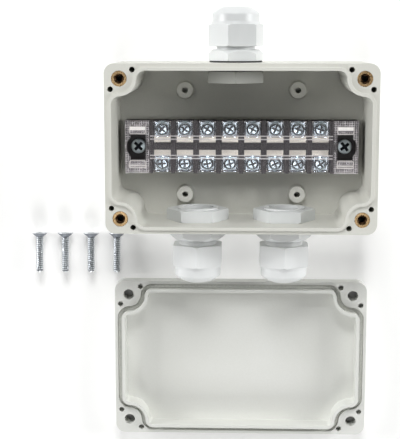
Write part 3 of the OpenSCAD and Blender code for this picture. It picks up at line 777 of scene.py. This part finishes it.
def make_sleeve(name):
    """The rubber sleeve that grips the cable, with grip rings in its bore."""
    low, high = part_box(f"{name}_sleeve")
    start = (low.y - BOX_HALF_W if name == "top" else -high.y - BOX_HALF_W) / MM
    length, outer, bore, edge = 12.6, 9.6, 7.0, 0.4
    grips, pitch, groove = 5, 2.1, 0.5
    end = start + length
    rings = []
    for i in range(grips):
        z = end - 2.0 - pitch * i
        rings += [(bore, z), (bore + groove, z - 0.5), (bore + groove, z - 1.1), (bore, z - 1.6)]
    profile = [(bore + edge, start), (outer - edge, start), (outer, start + edge),
               (outer, end - 2.4), (outer - 0.6, end - 0.3), (outer - 0.9, end),
               (bore + 0.5, end), (bore, end - 0.5)] + rings
    sleeve = turned(f"{name}_cable_sleeve", closed(millimetres(profile)), 56)
    dress(settle(sleeve, at_gland(name)), f"{name}_sleeve", "sleeve_rubber", f"{name}_sleeve")


def pan_head_screw(name, finish, recess_shade_finish, radius, length, head, head_h, recess_l, recess_w,
                   flatness):
    """A pan-head screw about Z in millimetres, its head on z = 0, with a driven cross whose recess
    takes a darker finish as painted shade.
    """
    edge = 0.5
    crown_r = flatness * head
    crown = arc((0, head_h - crown_r), crown_r, 90, 90 - 50.4 / flatness, 4)
    rim = arc((head - edge, head_h - edge - 1.8 / flatness), edge, 90 - 108 / flatness, 0, 4)
    profile = [(0, head_h)] + crown[1:] + rim + [
        (head, 0.12 * head_h), (head - 0.12, 0), (radius, 0), (radius - 0.2, -0.4),
        (radius - 0.2, -length + 0.4), (radius - 0.6, -length), (0, -length)]
    screw = turned(name, millimetres(profile), 40)
    cut(screw, cross_cutter(head_h * MM, recess_l * MM, recess_w * MM, 1.5 * MM))
    smooth(screw)
    return shade(screw, finish, recess_shade_finish, lambda at, normal: (
        at.z > 0.2 * MM and at.xy.length < (head - 0.7) * MM
        and (normal.z < 0.9 or at.z < (head_h - 1.0) * MM)))


def make_mounting_screws():
    # The mounting screws' cross recesses take near-black steel, as painted shade
    left = pan_head_screw("mounting_screw_left", "dull_zinc", "recess_painted_shade_steel",
                          radius=2.0, length=10.9, head=4.6, head_h=3.0,
                          recess_l=7.2, recess_w=2.1, flatness=6)
    right = copied(left, "mounting_screw_right",
                   raised_to(MOUNTING_HEAD_Z, WINDOW_X, BLOCK_Y, turn=38))
    settle(left, raised_to(MOUNTING_HEAD_Z, -WINDOW_X, BLOCK_Y, turn=45))
    for screw in (right, left):
        dress(screw, "box", "zinc_steel", "terminal_mounting_screws")


def clamp_washer():
    """A square pressed washer with turned-up ribs beside its round hole."""
    width, thick, corner, rib, well, hole_r = 10.2, 1.2, 1.5, 1.15, 0.55, 2.15
    leave_all()
    bpy.ops.mesh.primitive_cube_add(size=1, location=(0, 0, thick / 2 * MM))
    washer = named("clamp_washer_master")
    washer.scale = (width * MM, width * MM, thick * MM)
    settle(washer)
    enter(washer)
    pick("edges", lambda e: abs(e.verts[0].co.z - e.verts[1].co.z) > 0.8 * thick * MM)
    bpy.ops.mesh.bevel(offset=corner * MM, segments=4, affect="EDGES")
    pick("faces", facing(2, 1))
    bpy.ops.mesh.inset(thickness=rib * MM)
    bpy.ops.transform.translate(value=(0, 0, -well * MM))
    close_up()
    bpy.ops.object.mode_set(mode="OBJECT")
    bpy.ops.mesh.primitive_cylinder_add(vertices=40, radius=hole_r * MM, depth=4 * MM,
                                        location=(0, 0, 0))
    cut(washer, named("washer_hole"))
    soften(washer, 0.14 * MM, 2)
    # The well inside the raised rim takes the zinc painted darker, as painted shade
    return shade(washer, "bright_zinc", "well_painted_shade_zinc", lambda at, normal: (
        0.2 * MM < at.z < 0.95 * MM and max(abs(at.x), abs(at.y)) < 4.2 * MM))


def make_clamps():
    """Sixteen clamp screws with their captive washers, each turned as it was tightened."""
    head_h = 2.4
    # The clamp screws' cross recesses take darker steel, as painted shade
    screw = pan_head_screw("clamp_screw_master", "zinc_steel", "root_painted_shade_steel",
                           radius=2.0, length=6.4, head=3.9, head_h=head_h,
                           recess_l=5.4, recess_w=1.3, flatness=14)
    washer = clamp_washer()
    for i in CLAMPS:
        low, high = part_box(f"clamp_washer_{i}")
        x, y = (low.x + high.x) / 2, (low.y + high.y) / 2
        plate = copied(washer, f"pressure_plate_{i}", raised_to(low.z, x, y))
        dress(plate, f"clamp_washer_{i}", "zinc_steel", f"clamp_washer_{i}")
        head_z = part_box(f"clamp_screw_{i}")[1].z - head_h * MM
        driven = copied(screw, f"terminal_screw_{i}", raised_to(head_z, x, y, turn=i * 47 % 90))
        dress(driven, f"clamp_screw_{i}", "zinc_steel", f"clamp_screw_{i}")
    for master in (screw, washer):
        take(master)
        bpy.ops.object.delete()


def rib_field(name, x, y, length, count):
    """Fine moulded ribs that run along X, from one rib and an array."""
    pitch, height, taper = 0.6 * MM, 0.36 * MM, 0.4
    leave_all()
    bpy.ops.mesh.primitive_cube_add(size=1, location=(x, y, 0))
    rib = named(name)
    rib.scale = (length, 0.5 * pitch, height)
    settle(rib)
    enter(rib)
    pick("faces", facing(2, 1))
    resize(1, taper, 1, (x, y, 0))
    bpy.ops.object.mode_set(mode="OBJECT")
    apply_modifier(rib, "ARRAY", count=count, use_relative_offset=False,
                   use_constant_offset=True, constant_offset_displace=(0, pitch, 0))
    return rib


def make_block():
    """The dark moulding, its metal strips, and the clear cover with ribs and window tabs."""
    base = from_frame("terminal_base", "terminal_moulding", 0.2 * MM)
    dress(base, "box", "block_plastic", "terminal_base")
    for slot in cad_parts["terminal_strips"].material_slots:
        slot.material = FINISHES["strip_nickel"]
    cover = from_frame("terminal_cover", "clear_cover", 0.25 * MM)
    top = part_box("terminal_cover")[1].z - 0.6 * MM
    fields = []
    for side in (-1, 1):
        for half in (-1, 1):
            fields.append(rib_field(f"cover_ribs_{side}_{half}", side * WINDOW_X,
                                    BLOCK_Y + (half * 14.1 - 1.5) * MM, 13.4 * MM, 6))
        fields.append(rib_field(f"cover_ribs_side_{side}", side * 58.1 * MM,
                                BLOCK_Y - 7.8 * MM, 1.6 * MM, 27))
    for field in fields:
        settle(field, raised_to(top + 0.05 * MM))
    dress(joined("clear_cover", cover, *fields), "terminal_cover", "clear_plastic",
          "terminal_cover")
    for side, where in ((-1, "left"), (1, "right")):
        for half, end in ((-1, "lower"), (1, "upper")):
            make_window_tab(f"{where}_{end}", side * WINDOW_X, half, top)


def make_window_tab(name, x, half, top):
    """The thickened clear lip that bridges an end of a keyhole window, with its bead."""
    length, width, thick, corner, frame_w, sink = 10.4, 4.8, 0.5, 1.4, 0.5, 0.25
    bead_l, bead_r = 9.2, 1.05 if half > 0 else 0.5
    y = BLOCK_Y + half * 10.4 * MM
    leave_all()
    bpy.ops.mesh.primitive_cube_add(size=1, location=(x, y, top + 0.15 * MM))
    tab = named(f"window_tab_{name}")
    tab.scale = (length * MM, width * MM, thick * MM)
    settle(tab)
    enter(tab)
    pick("edges", lambda e: abs(e.verts[0].co.z - e.verts[1].co.z) > 0.8 * thick * MM
         and (e.verts[0].co.y - y) * half < 0)
    bpy.ops.mesh.bevel(offset=corner * MM, segments=4, affect="EDGES")
    pick("faces", facing(2, 1))
    bpy.ops.mesh.inset(thickness=frame_w * MM)
    bpy.ops.transform.translate(value=(0, 0, -sink * MM))
    close_up()
    soften(tab, 0.08 * MM, 2)
    # The tab's frame glows as painted light; its sunk middle is the clear cover
    shade(tab, "lip_painted_glow_plastic", "clear_plastic",
          lambda at, normal: abs(at.x - x) < 4.6 * MM and abs(at.y - y) < 1.8 * MM)
    leave_all()
    centre = (x, y + half * MM, top)
    bpy.ops.mesh.primitive_cylinder_add(vertices=24, radius=bead_r * MM, depth=bead_l * MM,
                                        location=centre, rotation=(0, math.pi / 2, 0))
    bead = settle(named(f"window_bead_{name}"))
    enter(bead)
    resize(1, 1, 0.5, centre)
    bpy.ops.object.mode_set(mode="OBJECT")
    soften(bead, 0.15 * MM, 3)
    dress(tab, "terminal_cover", "clear_plastic")
    # The upper bead glows brighter as a painted highlight, the lower one with the lip's painted
    # light
    dress(bead, "terminal_cover", "clear_plastic",
          finish="bead_painted_highlight_plastic" if half > 0 else "lip_painted_glow_plastic")


place_camera()
place_floor()
place_studio()
make_housing()
make_inserts()
make_lid_screws()
make_glands()
make_mounting_screws()
make_clamps()
make_block()
leave_all()
